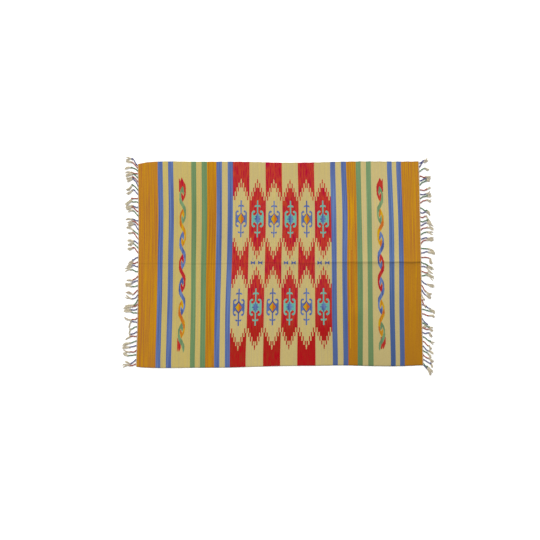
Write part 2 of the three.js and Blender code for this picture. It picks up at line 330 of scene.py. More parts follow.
# The twined strip at each end of the cloth, and the cords that hang on it.
STRIP_GAP = 0.3
STRIP_WIDTH = 2.6
STRIP = {"radius": 0.42, "off_axis": 0.36, "pitch": 6.5, "steps": 8}
STRIP_SHORT_OF_EDGE = 2
FIRST_ROOT = 6
YARN_SIDES = 5
CORD = {"bend": (-0.25, 1.1), "quick_turn": 0.6, "sway": 1.5, "bow": 2.6, "most_faded": 0.12}
PLY = {
    "radius": 0.98,
    "off_axis": 0.9,
    "pitch": 9.5,
    "count": 3,
    "steps": 20,
    "first_dyed": 0.65,
    "dye_starts": (-3, 1),
}
KNOT = {
    "radius": 0.95,
    "coil": 1.75,
    "half_length": 2.3,
    "turns": 2.6,
    "steps": 24,
    "raised": 0.6,
    "dyed": (0.1, 0.35, 0.8),
}

# The tuft, by the share of the way from its knot to its tip. A pair of numbers is the least and the
# most by chance, or where on the way a change begins and ends. Each manner has how wide the lock is
# in its middle and at its tip.
LOCK = {"yarns": 17, "tangled_yarns": 9, "radius": 0.5, "tip_share": 0.6, "steps": 7, "half_spread": 3.7}
TUFT = {
    "bow": 2.6,
    "spread": (0.85, 1.2),
    "at_knot": 0.3,
    "opens": (-0.1, 0.45),
    "parting": (1.6, 2.8),
    "parts": (0.25, 0.9),
    "off_lane": 0.12,
    "reach": (0.8, 1.08),
    "outer_shorter": 0.16,
    "wave": (0.2, 0.7),
    "wave_turns": 8,
    "rough": 1.8,
    "start_height": 2.4,
    "height": (0.5, 3.2),
    "settles": (0, 0.5),
    "droop": 0.55,
    "droops": (0.5, 1.05),
    "most_shaded": 0.45,
    "dyed_share": 0.08,
    "dyed": 0.4,
}
MANNERS = {
    "narrow": (0.66, 0.5),
    "open": (0.85, 1.15),
    "frayed": (0.7, 1.3),
    "split": (0.6, 0.7),
    "tangled": (0.5, 0.75),
}
USUAL_MANNERS = ("narrow", "open", "open", "frayed", "split")
STRAY = {
    "radius": 0.3,
    "share": 0.3,
    "turn": (0.4, 0.8),
    "curl": 1.5,
    "wriggle": 7,
    "start": 9,
    "reach": 0.75,
    "tip_height": 0.5,
}
KNOT_PITCH = 4.6
TIP_PITCH = 4.6
KEEP_APART_ROUNDS = 200

# What the cords are dyed, the first ply less than the others, and the tones of undyed yarn, the last
# of them a painted shade that some yarns of the tufts take at random.
CORD_DYES = {"R": (134, 36, 22), "B": (48, 54, 112), "G": (52, 98, 62), "U": (185, 175, 150)}
UNDYED = (190, 180, 156)
PALE = (226, 219, 202)
SHADED = (160, 148, 122)

# Each cord, from the far edge to the near edge: its dye; how far its knot lies towards the far edge
# from its root; cloth to knot; how far the tip of its tuft lies towards the far edge from the knot,
# and how far outward. Some tufts lie in a way of their own. The crowding is how far the roots lie
# towards the far edge from even places, at the numbers of some cords.
LEFT_CORDS = [
    ("B", 12.6, 17.8, 2, 19),
    ("R", 11.5, 19, 3, 18),
    ("G", 4.2, 19.5, -5.7, 21),
    ("R", -2.5, 18, -4, 20),
    ("G", 6.3, 18, -7, 20),
    ("R", 9.4, 16, -5, 20),
    ("B", 16.8, 16, -10.5, 17),
    ("G", 11.5, 18, -16.8, 18),
    ("B", 7.8, 18, -10.9, 18),
    ("R", -4.2, 19, -25, 21),
    ("G", 0, 21, -14, 18),
    ("B", 1, 19, -5, 20),
    ("R", 10.5, 19, -6, 18),
    ("G", 13.6, 17, 0, 17),
    ("B", 2, 21, -2, 18),
    ("R", 9, 16, -4, 18),
    ("B", 14.7, 15, -3, 19),
    ("G", 11.5, 17, 7.3, 20),
    ("R", 16.8, 19, -1, 14),
    ("B", 5.2, 17, 1, 17),
    ("G", 15.7, 17, -8.4, 15),
    ("R", 13.6, 17, -3, 17),
    ("B", -8.4, 17, -7, 12),
    ("R", -3, 17, -8, 14),
    ("B", 1, 20, -2, 15),
    ("G", 4.8, 22, -1.7, 19),
    ("R", -12.6, 18, -1, 17),
    ("B", -7.3, 20, -2, 20),
    ("G", -3, 21, 2, 17),
    ("R", -12.6, 17, 5, 20),
    ("B", -12.2, 18, 7, 21),
    ("G", -16.8, 10.5, -2, 26),
    ("R", -8.4, 16.8, 0, 24),
    ("B", -3.6, 22, -1, 22),
    ("G", 4.2, 20.3, 0, 23),
    ("R", -6.7, 18.9, 7, 22, "tangled"),
    ("B", 2.1, 19.9, -22, 6, "tangled"),
    ("G", -6.7, 21, -16, 4, "tangled"),
    ("B", -8, 22.4, -13, 5, "tangled"),
    ("R", -3, 22, -9, 14, "tangled"),
    ("G", -7.3, 21, -8.4, 22),
    ("B", -6.3, 22, -3.8, 23),
    ("R", -6.9, 23, 0, 18),
    ("G", -4.2, 26, 7.3, 15),
    ("B", -15, 20, 7.5, 15, "narrow"),
    ("R", -5.2, 21, -4, 20, "split"),
]
RIGHT_CORDS = [
    ("B", 6.3, 18, 4.5, 10),
    ("B", 18, 17, 4, 10),
    ("G", 10.9, 19, -3, 12),
    ("R", -4.2, 19.5, 2, 16),
    ("B", 10.5, 20, -2.5, 15),
    ("G", 14.2, 20, -2.7, 12),
    ("R", 2, 21, 6.7, 13),
    ("B", 3, 22, 4, 12),
    ("G", 8.8, 22, 4.8, 13.6),
    ("R", 10.5, 22, -4, 13.6),
    ("G", -8.4, 20, -9.4, 8),
    ("B", 1.7, 20, -12.6, 10.5),
    ("R", 2.5, 19, -23, 15),
    ("G", 3.8, 22, -17, 15),
    ("B", 8.8, 22, -12, 17),
    ("R", 8.4, 20, -7.8, 20),
    ("G", 8.8, 20.5, -5.7, 18),
    ("B", 3.1, 23, 1, 17),
    ("R", 11.5, 19.5, 0, 20),
    ("G", -1, 23, -12, 19),
    ("B", 2.5, 23, -5.7, 21),
    ("R", -3, 27.5, -17.8, 5),
    ("G", -9.4, 19, -12, 20),
    ("B", -1.7, 17.5, -19, 18),
    ("R", -3.8, 19, -15, 20),
    ("G", 2.7, 18, -14, 19),
    ("B", -10.5, 18.9, -6, 22),
    ("R", -16.8, 12.6, -10.5, 19),
    ("B", -16.8, 16.5, -11, 13),
    ("U", -11.5, 8, -3, -2),
    ("R", -16.8, 12, -4, 4),
    ("B", -10.5, 24, -8, 12),
    ("G", -5.2, 28, -6.3, 12),
    ("R", -3.8, 24, -6.7, 15),
    ("B", -15.7, 15.7, -12, -13.6),
    ("G", -10, 21, -6, 11),
    ("R", -1, 21.6, -6, 12),
    ("B", 0, 21.6, -13.6, 8),
    ("G", -10.5, 23, -6.3, 13),
    ("R", -10.5, 19.9, -11.5, 7.3),
    ("B", -11.5, 19.9, -11.5, 13.6),
    ("G", -7.8, 17.2, -12, 10),
    ("R", -7.3, 19.9, -12.6, 11.5),
    ("B", -8.8, 23, -13.2, 6.3),
    ("G", -6.7, 12.6, -18.9, 17),
    ("B", -7.8, 13.6, -20.5, 10.5),
]
FRINGES = {
    "fringe_left": {
        "outward": -1,
        "crowding": [(0, 2), (3, 15.7), (10, 21), (16, 18), (28, 9.4), (45, 3)],
        "cords": LEFT_CORDS,
    },
    "fringe_right": {
        "outward": 1,
        "crowding": [
            (0, 2),
            (15, 1),
            (22, -0.5),
            (28, -4),
            (31, -8.4),
            (36, -12),
            (43, -14.7),
            (44, -12.6),
            (45, -5.2),
        ],
        "cords": RIGHT_CORDS,
    },
}

# The fibres of the cords' yarn, as noise in metres, with a relief in millimetres.
FIBRES = {"scale": 900, "detail": 2, "contrast": 0.3, "height": 0.3, "strength": 0.6}

# The room, in metres and degrees. The camera stands off the tables' origin by millimetres along and
# across, and sees this width of floor.
FLOOR = {"half_width": 4, "paint": (0.92, 0.92, 0.92, 1), "roughness": 0.9}
ROOM_LIGHT = 0.72
SOFTBOX = {"size": 4, "energy": 720, "place": (-1.8, 5.5, 6.0), "turned": (-42.5, 0, 18.1)}
CAMERA = {"along": -27.0, "across": -17.6, "sees": 1.584, "lens": 100, "film": 36}


def lerp(start, end, share):
    return start + (end - start) * share


def smoothstep(value, low, high):
    share = min(max((value - low) / (high - low), 0), 1)
    return share * share * (3 - 2 * share)


def smooth_column(rows, column):
    """A smooth function through one column of a table whose first column is the place."""
    places = [row[0] for row in rows]
    values = [row[column] for row in rows]
    chords = [(b[column] - a[column]) / (b[0] - a[0]) for a, b in zip(rows, rows[1:])]
    slopes = [(before + after) / 2 for before, after in zip([chords[0], *chords], [*chords, chords[-1]])]

    def curve(at):
        at = min(max(at, places[0]), places[-1])
        high = min(bisect_right(places, at), len(places) - 1)
        low = high - 1
        step = places[high] - places[low]
        share = (at - places[low]) / step
        bulge = slopes[low] * (1 - share) - slopes[high] * share
        eased = lerp(values[low], values[high], smoothstep(share, 0, 1))
        return eased + step * share * (1 - share) * bulge

    return curve


far_edge = smooth_column(LONG_EDGES, 1)
near_edge = smooth_column(LONG_EDGES, 2)
left_creep = smooth_column(ENDS, 1)
right_creep = smooth_column(ENDS, 2)
crease_line = smooth_column(CREASE_LINE, 1)
drifts = [smooth_column(DRIFT, column + 1) for column in range(len(DRIFT_ROWS))]


def place_of(along, across):
    """Where a point of the woven cloth lies on the floor."""
    share = (along + HALF_LENGTH) / CLOTH_LENGTH
    creep = lerp(left_creep(across), right_creep(across), share)
    edge = far_edge(along) if across > 0 else near_edge(along)
    return along + creep, across * edge / HALF_WIDTH


def weft_at(x, across):
    """The place along the middle row of the weft that lies at x, this far across."""
    weft = x
    for _ in range(WEFT_ROUNDS):
        drifted = [(0, 0), *((row, drift(weft)) for row, drift in zip(DRIFT_ROWS, drifts))]
        weft = x - smooth_column(sorted(drifted), 1)(across)
    return weft


def fold_lift(along, across):
    """The ridge of the fold, which grows to the right and falls more steeply to the near side."""
    off = across - crease_line(along)
    height = lerp(FOLD["height_left"], FOLD["height_right"], smoothstep(along, *FOLD_GROWS))
    reach = FOLD["far_reach"] if off > 0 else FOLD["near_reach"]
    at_end = smoothstep(HALF_LENGTH - abs(along), 0, FOLD["end"])
    return height * math.exp(-abs(off) / reach) * lerp(FOLD["least_at_end"], 1, at_end)


def swell_lift(along, across):
    lift = 0
    for swell in SWELLS:
        far = math.hypot(
            (along - swell["along"]) / swell["half_length"],
            (across - swell["across"]) / swell["half_width"],
        )
        lift += swell["height"] * (1 - smoothstep(far, 0, 1))
    return lift


def cockle(along, across):
    """The small waves of a cloth that was folded and laid out, from -1 to 1."""
    return (
        0.4 * math.sin(along * 0.041 + 1.9 * math.sin(across * 0.013))
        + 0.35 * math.sin(across * 0.057 + 1.3 * math.sin(along * 0.019 + 1))
        + 0.25 * math.sin(along * 0.083 - across * 0.036 + 2)
    )


def lift_of(along, across):
    """How far the underside stands off the floor. But for the fold, the ends of the cloth lie flat."""
    free_of_end = smoothstep(HALF_LENGTH - abs(along), 0, END_LYING_FLAT)
    lift = swell_lift(along, across) + COCKLE_HEIGHT * (1 + cockle(along, across)) / 2
    return free_of_end * lift + fold_lift(along, across)


def crease_depth(along, across):
    wander = CREASE["wander"] * (math.sin(along * 0.031) + math.sin(along * 0.087 + 1))
    off = abs(across - crease_line(along) - wander) / CREASE["half_width"]
    depth = lerp(CREASE["depth_left"], CREASE["depth_right"], smoothstep(along, *CREASE_DEEPENS))
    return depth * (1 - smoothstep(off, 0, 1))


def edge_wander(along, across):
    """How far a long edge stands outward of its even line, less and less away from the edge."""
    quick, slow = EDGE_WANDER["turns"]
    start = EDGE_WANDER["far_start"] if across > 0 else 0
    waves = (math.sin(along * quick) + math.sin(along * slow + start)) / 2
    at_edge = smoothstep(abs(across), HALF_WIDTH - EDGE_WANDER["reach"], HALF_WIDTH)
    return EDGE_WANDER["depth"] * waves * at_edge


def find_shift():
    """From the tables' origin to the part's, from the lowest corner of the cloth's solid."""
    stations = np.linspace(-HALF_LENGTH, HALF_LENGTH, SOLID_STEPS + 1)
    low_x = -HALF_LENGTH + min(row[1] for row in ENDS)
    low_y = -max(near_edge(along) for along in stations)
    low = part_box("mat")[0]
    return low[0] / MM - low_x, low[1] / MM - low_y


def grid_lines(half, cell, rim, fine=()):
    """Lines from one edge to the other: a few close to each edge for its rounding, then even ones."""
    inner = half - rim[-1]
    even = np.linspace(-inner, inner, round(2 * inner / cell) + 1)
    if len(fine):
        even = even[(even < fine[0] - cell / 3) | (even > fine[-1] + cell / 3)]
    edge = [half - step for step in rim[:-1]]
    return sorted([*even, *fine, *edge, *(-line for line in edge)])


def mesh_object(name, vertices, faces, material, edges=()):
    mesh = bpy.data.meshes.new(name)
    mesh.from_pydata(vertices, edges, faces)
    if material:
        mesh.materials.append(material)
    mesh.update()
    piece = bpy.data.objects.new(name, mesh)
    bpy.context.scene.collection.objects.link(piece)
    return piece


def cloth_place(along, across, shift):
    """A place of the cloth: x, y, the height of its middle, half its thickness, its crease, its weft."""
    x, y = place_of(along, across)
    weft = weft_at(x, across)
    y += edge_wander(along, across) * (1 if across > 0 else -1)
    round_over = RIM_STEPS[-1]
    from_rim = min(HALF_LENGTH - abs(along), HALF_WIDTH - abs(across), round_over)
    half_thick = CLOTH_THICKNESS / 2 * math.sqrt(1 - (1 - from_rim / round_over) ** 2)
    middle = lift_of(along, across) + CLOTH_THICKNESS / 2
    return x + shift[0], y + shift[1], middle, half_thick, crease_depth(along, across), weft, across


def number_points(rows, columns):
    """The numbers of the grid's points in the upper and the lower layer, which share their rim."""
    upper = np.arange(rows * columns).reshape(rows, columns)
    lower = upper.copy()
    inner = lower[1:-1, 1:-1]
    lower[1:-1, 1:-1] = upper.size + np.arange(inner.size).reshape(inner.shape)
    return upper, lower


def layer_faces(upper, lower):
    """The cells of both layers, facing up on the upper one and down on the lower one."""
    faces = []
    for row in range(len(upper) - 1):
        for column in range(len(upper[0]) - 1):
            for layer, turn in ((upper, 1), (lower, -1)):
                a, b = layer[row, column], layer[row, column + 1]
                c, d = layer[row + 1, column + 1], layer[row + 1, column]
                faces.append((a, b, c, d)[::turn])
    return faces


def make_cloth(material, shift):
    """One closed sheet of two layers over a grid, with a map of where each point was woven."""
    fine = np.arange(-CREASE_REACH, CREASE_REACH + CREASE_CELL, CREASE_CELL)
    alongs = grid_lines(HALF_LENGTH, CELL, RIM_STEPS)
    acrosses = grid_lines(HALF_WIDTH, CELL, RIM_STEPS, fine)
    places = [cloth_place(along, across, shift) for across in acrosses for along in alongs]
    upper, lower = number_points(len(acrosses), len(alongs))
    vertices = np.zeros((lower.max() + 1, 3))
    woven = np.zeros((len(vertices), 2))
    for layer, side in ((lower, -1), (upper, 1)):
        for index, (x, y, middle, half_thick, crease, weft, across) in zip(layer.ravel(), places):
            pressed = crease if side > 0 else min(crease, middle - half_thick)
            z = middle + side * half_thick - pressed
            vertices[index] = x * MM, y * MM, max(z, 0) * MM
            woven[index] = weft * MM, across * MM
    piece = mesh_object("woven_cloth", vertices.tolist(), layer_faces(upper, lower), material)
    woven_map = piece.data.uv_layers.new(name="woven")
    corners = np.zeros(len(piece.data.loops), np.int32)
    piece.data.loops.foreach_get("vertex_index", corners)
    woven_map.data.foreach_set("uv", woven[corners].ravel())
    piece.data.shade_smooth()
    return piece


def keep_apart(strands, what, pitch):
    """Moves neighbours off each other evenly until none is closer than the pitch."""
    for _ in range(KEEP_APART_ROUNDS):
        for one, other in zip(strands, strands[1:]):
            missing = pitch - (one[what] - other[what])
            if missing > 0:
                one[what] += missing / 2
                other[what] -= missing / 2


def lay_out(fringe):
    """Where each strand of a fringe has its root, its knot and its tip across the mat."""
    numbers, shifts = zip(*fringe["crowding"])
    first_across = HALF_WIDTH - FIRST_ROOT
    pitch = 2 * first_across / (len(fringe["cords"]) - 1)
    strands = []
    for number, (dye, draw, reach, stray, forward, *manner) in enumerate(fringe["cords"]):
        root = first_across - number * pitch + float(np.interp(number, numbers, shifts))
        knot = root + draw
        strands.append(
            {
                "dye": dye,
                "root": root,
                "knot": knot,
                "tip": knot + stray,
                "reach": reach,
                "forward": forward,
                "manner": manner[0] if manner else None,
            }
        )
    keep_apart(strands, "knot", KNOT_PITCH)
    keep_apart(strands, "tip", TIP_PITCH)
    return strands


def linear(colour):
    """A screen colour, 0 to 255, as the light it stands for."""
    shares = (level / 255 for level in colour)
    return tuple(s / 12.92 if s <= 0.04045 else ((s + 0.055) / 1.055) ** 2.4 for s in shares)


def blend(one, other, share):
    return tuple(lerp(a, b, share) for a, b in zip(one, other))


def three_tones(name):
    """A yarn's two tones and its deeper one, which is half way between them where it has none."""
    one, other, *deeper = YARNS[name]
    return one, other, *(deeper or [blend(one, other, 0.5)])


class Yarns:
    """Yarns that follow paths: every point has its place, its radius and its dye."""

    def __init__(self):
        self.points, self.edges, self.radii, self.dyes = [], [], [], []

    def lay(self, path, radii, dyes):
        first = len(self.points)
        self.points += [(x * MM, y * MM, max(z, r) * MM) for (x, y, z), r in zip(path, radii)]
        self.edges += [(first + i, first + i + 1) for i in range(len(path) - 1)]
        self.radii += [radius * MM for radius in radii]
        self.dyes += [(*dye, 1) for dye in dyes]

    def lay_even(self, path, radius, dye):
        self.lay(path, [radius] * len(path), [dye] * len(path))


def twist(path, off_axis, pitch, phase):
    """A path wound round another one."""
    path = np.array(path)
    heading = np.gradient(path, axis=0)
    heading /= np.linalg.norm(heading, axis=1, keepdims=True)
    aside = np.stack([-heading[:, 1], heading[:, 0], np.zeros(len(path))], axis=1)
    aside /= np.linalg.norm(aside, axis=1, keepdims=True)
    above = np.cross(heading, aside)
    steps = np.linalg.norm(np.diff(path, axis=0), axis=1)
    turns = np.concatenate([[0], np.cumsum(steps)]) / pitch * 2 * math.pi + phase
    return path + off_axis * (np.cos(turns)[:, None] * aside + np.sin(turns)[:, None] * above)


def lay_strip(yarns, outward, shift):
    """Two undyed yarns twined along the end of the cloth."""
    last = HALF_WIDTH - STRIP_SHORT_OF_EDGE
    stations = np.linspace(last, -last, round(2 * last / STRIP["pitch"] * STRIP["steps"]))
    off = outward * (STRIP_GAP + STRIP_WIDTH / 2)
    height = STRIP["radius"] + STRIP["off_axis"]
    path = []
    for across in stations:
        x, y = place_of(outward * HALF_LENGTH, across)
        path.append((x + off + shift[0], y + shift[1], height))
    tones = [linear(UNDYED), linear(blend(PALE, UNDYED, 0.5))]
    for side, tone in enumerate(tones):
        wound = twist(path, STRIP["off_axis"], STRIP["pitch"], side * math.pi)
        yarns.lay_even(wound, STRIP["radius"], tone)


def cord_path(root, knot, chance):
    """The middle of a cord, which leaves the strip straight, swings over and bows a little."""
    start, finish = (smoothstep(share, *CORD["bend"]) for share in (0, 1))
    sway = chance.uniform(-CORD["sway"], CORD["sway"])
    bow = chance.uniform(-CORD["bow"], CORD["bow"])
    height = PLY["radius"] + PLY["off_axis"]
    path = []
    for share in np.linspace(0, 1, PLY["steps"]):
        eased = (smoothstep(share, *CORD["bend"]) - start) / (finish - start)
        bend = lerp(eased, math.sin(share * math.pi / 2), CORD["quick_turn"])
        off = sway * math.sin(share * math.pi * 2) + bow * math.sin(share * math.pi)
        path.append((lerp(root[0], knot[0], share), lerp(root[1], knot[1], bend) + off, height))
    return path


def lay_cord(yarns, strand, outward, shift, chance):
    """One cord from the strip to its knot, the knot, and the tuft of loose yarns beyond it."""
    end_x, root_y = place_of(outward * HALF_LENGTH, strand["root"])
    end_x += shift[0]
    root = (end_x + outward * (STRIP_GAP + STRIP_WIDTH / 2), root_y + shift[1])
    knot = (end_x + outward * strand["reach"], strand["knot"] + shift[1])
    tip = (knot[0] + outward * strand["forward"], strand["tip"] + shift[1])
    path = cord_path(root, knot, chance)
    dye = linear(blend(CORD_DYES[strand["dye"]], UNDYED, chance.uniform(0, CORD["most_faded"])))
    plain = linear(UNDYED)
    phase = chance.uniform(0, 2 * math.pi)
    for ply in range(PLY["count"]):
        wound = twist(path, PLY["off_axis"], PLY["pitch"], phase + ply * 2 * math.pi / PLY["count"])
        dyed = PLY["first_dyed"] if ply == 0 else 1
        dyes = [blend(plain, dye, dyed * smoothstep(step, *PLY["dye_starts"])) for step in range(len(wound))]
        yarns.lay(wound, [PLY["radius"]] * len(wound), dyes)
    lay_knot(yarns, path, dye, chance)
    lay_tuft(yarns, knot, tip, strand["manner"], dye, chance)


def lay_knot(yarns, path, dye, chance):
    """A yarn coiled tightly round the end of the cord."""
    end = np.array(path[-1])
    heading = end - np.array(path[-2])
    heading *= KNOT["half_length"] / np.linalg.norm(heading)
    axis = [end + heading * share for share in np.linspace(-1, 1, KNOT["steps"])]
    pitch = 2 * KNOT["half_length"] / KNOT["turns"]
    coil = twist(axis, KNOT["coil"], pitch, chance.uniform(0, 2 * math.pi))
    coil[:, 2] += KNOT["raised"]
    tone = blend(linear(UNDYED), dye, chance.choice(KNOT["dyed"]))
    yarns.lay_even(coil, KNOT["radius"], tone)


def beside(knot, tip, share, off):
    """The place that lies off to the side of a share of the way from the knot to the tip."""
    length = math.dist(knot, tip)
    heading = [(end - start) / length for start, end in zip(knot, tip)]
    x = lerp(knot[0], tip[0], share) - heading[1] * off
    y = lerp(knot[1], tip[1], share) + heading[0] * off
    return x, y


def lay_tuft(yarns, knot, tip, own_manner, dye, chance):
    """Loose yarns that leave the knot together: a lock that narrows, or one that opens or frays."""
    bow = chance.uniform(-TUFT["bow"], TUFT["bow"])
    manner = chance.choice(USUAL_MANNERS)
    manner = own_manner or manner
    at_middle, at_tip = (spread * chance.uniform(*TUFT["spread"]) for spread in MANNERS[manner])
    parting = chance.uniform(*TUFT["parting"]) if manner == "split" else 0
    rough = TUFT["rough"] if manner in ("frayed", "tangled") else 1
    plain = linear(UNDYED)
    count = LOCK["tangled_yarns"] if manner == "tangled" else LOCK["yarns"]
    for yarn in range(count):
        lane = lerp(-1, 1, yarn / (count - 1)) + chance.uniform(-TUFT["off_lane"], TUFT["off_lane"])
        reach = chance.uniform(*TUFT["reach"]) - TUFT["outer_shorter"] * abs(lane)
        wave = chance.uniform(*TUFT["wave"]) * rough
        phase = chance.uniform(0, 2 * math.pi)
        height = chance.uniform(*TUFT["height"])
        # Some yarns take on a painted shade of their undyed tone, at random.
        tone = blend(plain, linear(SHADED), chance.uniform(0, TUFT["most_shaded"]))
        if chance.random() < TUFT["dyed_share"]:
            tone = blend(tone, dye, TUFT["dyed"])
        path = []
        for share in np.linspace(0, reach, LOCK["steps"] + 1):
            opening = lerp(TUFT["at_knot"], at_middle, smoothstep(share, *TUFT["opens"]))
            opening = lerp(opening, at_tip, smoothstep(share, TUFT["opens"][1], 1))
            off = LOCK["half_spread"] * lane * opening + bow * math.sin(share * math.pi)
            off += wave * share * math.sin(share * TUFT["wave_turns"] + phase)
            off += math.copysign(parting, lane) * smoothstep(share, *TUFT["parts"])
            z = lerp(TUFT["start_height"], height, smoothstep(share, *TUFT["settles"]))
            z *= 1 - TUFT["droop"] * smoothstep(share, *TUFT["droops"])
            path.append((*beside(knot, tip, share, off), z))
        radii = [LOCK["radius"]] * LOCK["steps"] + [LOCK["radius"] * LOCK["tip_share"]]
        yarns.lay(path, radii, [tone] * len(path))
    if chance.random() < STRAY["share"]:
        lay_stray(yarns, knot, tip, chance)


def lay_stray(yarns, knot, tip, chance):
    """One thin pale yarn that curls away from its tuft."""
    turn = chance.choice((-1, 1)) * chance.uniform(*STRAY["turn"])
    length = math.dist(knot, tip)
    path = []
    for share in np.linspace(0, 1, LOCK["steps"] + 1):
        off = turn * length * share ** STRAY["curl"]
        off += math.sin(share * STRAY["wriggle"] + turn * STRAY["start"])
        z = lerp(TUFT["start_height"], STRAY["tip_height"], share)
        path.append((*beside(knot, tip, share * STRAY["reach"], off), z))
    yarns.lay_even(path, STRAY["radius"], linear(PALE))


class Value:
    """A number that varies over a surface. Expressions on it add Math nodes."""

    def __init__(self, finish, socket):
        self.finish = finish
        self.socket = socket

    def maths(self, operation, *others):
        return self.finish.maths(operation, self, *others)

    def __add__(self, other):
        return self.maths("ADD", other)

    __radd__ = __add__

    def __sub__(self, other):
        return self.maths("SUBTRACT", other)

    def __rsub__(self, other):
        return self.finish.maths("SUBTRACT", other, self)

    def __mul__(self, other):
        return self.maths("MULTIPLY", other)

    __rmul__ = __mul__

    def __truediv__(self, other):
        return self.maths("DIVIDE", other)

    def __neg__(self):
        return self.finish.maths("SUBTRACT", 0, self)

    def __abs__(self):
        return self.maths("ABSOLUTE")

    def __pow__(self, other):
        return self.maths("POWER", other)

    def __mod__(self, other):
        return self.maths("FLOORED_MODULO", other)

    def __lt__(self, other):
        return self.maths("LESS_THAN", other)

    def __gt__(self, other):
        return self.maths("GREATER_THAN", other)

    def __and__(self, other):
        return self.maths("MULTIPLY", other)

    def __or__(self, other):
        return self.maths("MAXIMUM", other)

    def floor(self):
        return self.maths("FLOOR")

    def least(self, other):
        return self.maths("MINIMUM", other)

    def most(self, other):
        return self.maths("MAXIMUM", other)

    def held(self):
        """Kept between 0 and 1."""
        return self.most(0).least(1)

    def between(self, low, high):
        return (self > low) & (self < high)

    def is_number(self, number):
        """Whether a whole number is this one."""
        return abs(self - number) < 0.5


def add_node(tree, kind, settings=None, inputs=None):
    """A node whose inputs are numbers, sockets, Values, or other nodes by their first output."""
    made = tree.nodes.new(kind)
    for key, setting in (settings or {}).items():
        setattr(made, key, setting)
    for key, value in (inputs or {}).items():
        if isinstance(value, Value):
            value = value.socket
        elif isinstance(value, bpy.types.Node):
            value = value.outputs[0]
        if isinstance(value, bpy.types.NodeSocket):
            tree.links.new(value, made.inputs[key])
        else:
            made.inputs[key].default_value = value
    return made


def strand_tree():
    """Turns each path of points into a round yarn of the points' own radii."""
    tree = bpy.data.node_groups.new("round_yarns", "GeometryNodeTree")
    for name, kind in (("Paths", "Geometry"), ("Sides", "Int"), ("Cotton", "Material")):
        tree.interface.new_socket(name, in_out="INPUT", socket_type="NodeSocket" + kind)
    tree.interface.new_socket("Yarns", in_out="OUTPUT", socket_type="NodeSocketGeometry")
    given = add_node(tree, "NodeGroupInput").outputs
    radius = add_node(tree, "GeometryNodeInputNamedAttribute", {"data_type": "FLOAT"}, {"Name": "radius"})
    paths = add_node(tree, "GeometryNodeMeshToCurve", inputs={"Mesh": given["Paths"]})
    ring_inputs = {"Resolution": given["Sides"], "Radius": 1}
    ring = add_node(tree, "GeometryNodeCurvePrimitiveCircle", inputs=ring_inputs)
    tube_inputs = {"Curve": paths, "Profile Curve": ring, "Scale": radius, "Fill Caps": True}
    tubes = add_node(tree, "GeometryNodeCurveToMesh", inputs=tube_inputs)
    smooth = add_node(tree, "GeometryNodeSetShadeSmooth", inputs={"Geometry": tubes, "Shade Smooth": True})
    real = add_node(tree, "GeometryNodeRealizeInstances", inputs={"Geometry": smooth})
    dressed_inputs = {"Geometry": real, "Material": given["Cotton"]}
    dressed = add_node(tree, "GeometryNodeSetMaterial", inputs=dressed_inputs)
    add_node(tree, "NodeGroupOutput", inputs={"Yarns": dressed})
    return tree


def make_fringe(name, fringe, tree, material, shift):
    yarns = Yarns()
    chance = random.Random(name)
    lay_strip(yarns, fringe["outward"], shift)
    for strand in lay_out(fringe):
        lay_cord(yarns, strand, fringe["outward"], shift, chance)
    paths = mesh_object("paths", yarns.points, [], None, yarns.edges)
    radius = paths.data.attributes.new("radius", "FLOAT", "POINT")
    radius.data.foreach_set("value", yarns.radii)
    dye = paths.data.attributes.new("dye", "FLOAT_COLOR", "POINT")
    dye.data.foreach_set("color", np.array(yarns.dyes, np.float32).ravel())
    modifier = paths.modifiers.new("round_yarns", "NODES")
    modifier.node_group = tree
    sockets = {item.name: item.identifier for item in tree.interface.items_tree if item.in_out == "INPUT"}
    modifier[sockets["Sides"]] = YARN_SIDES
    modifier[sockets["Cotton"]] = material
    evaluated = paths.evaluated_get(bpy.context.evaluated_depsgraph_get())
    mesh = bpy.data.meshes.new_from_object(evaluated)
    bpy.data.objects.remove(paths)
    piece = bpy.data.objects.new(name + "_yarns", mesh)
    bpy.context.scene.collection.objects.link(piece)
    return piece


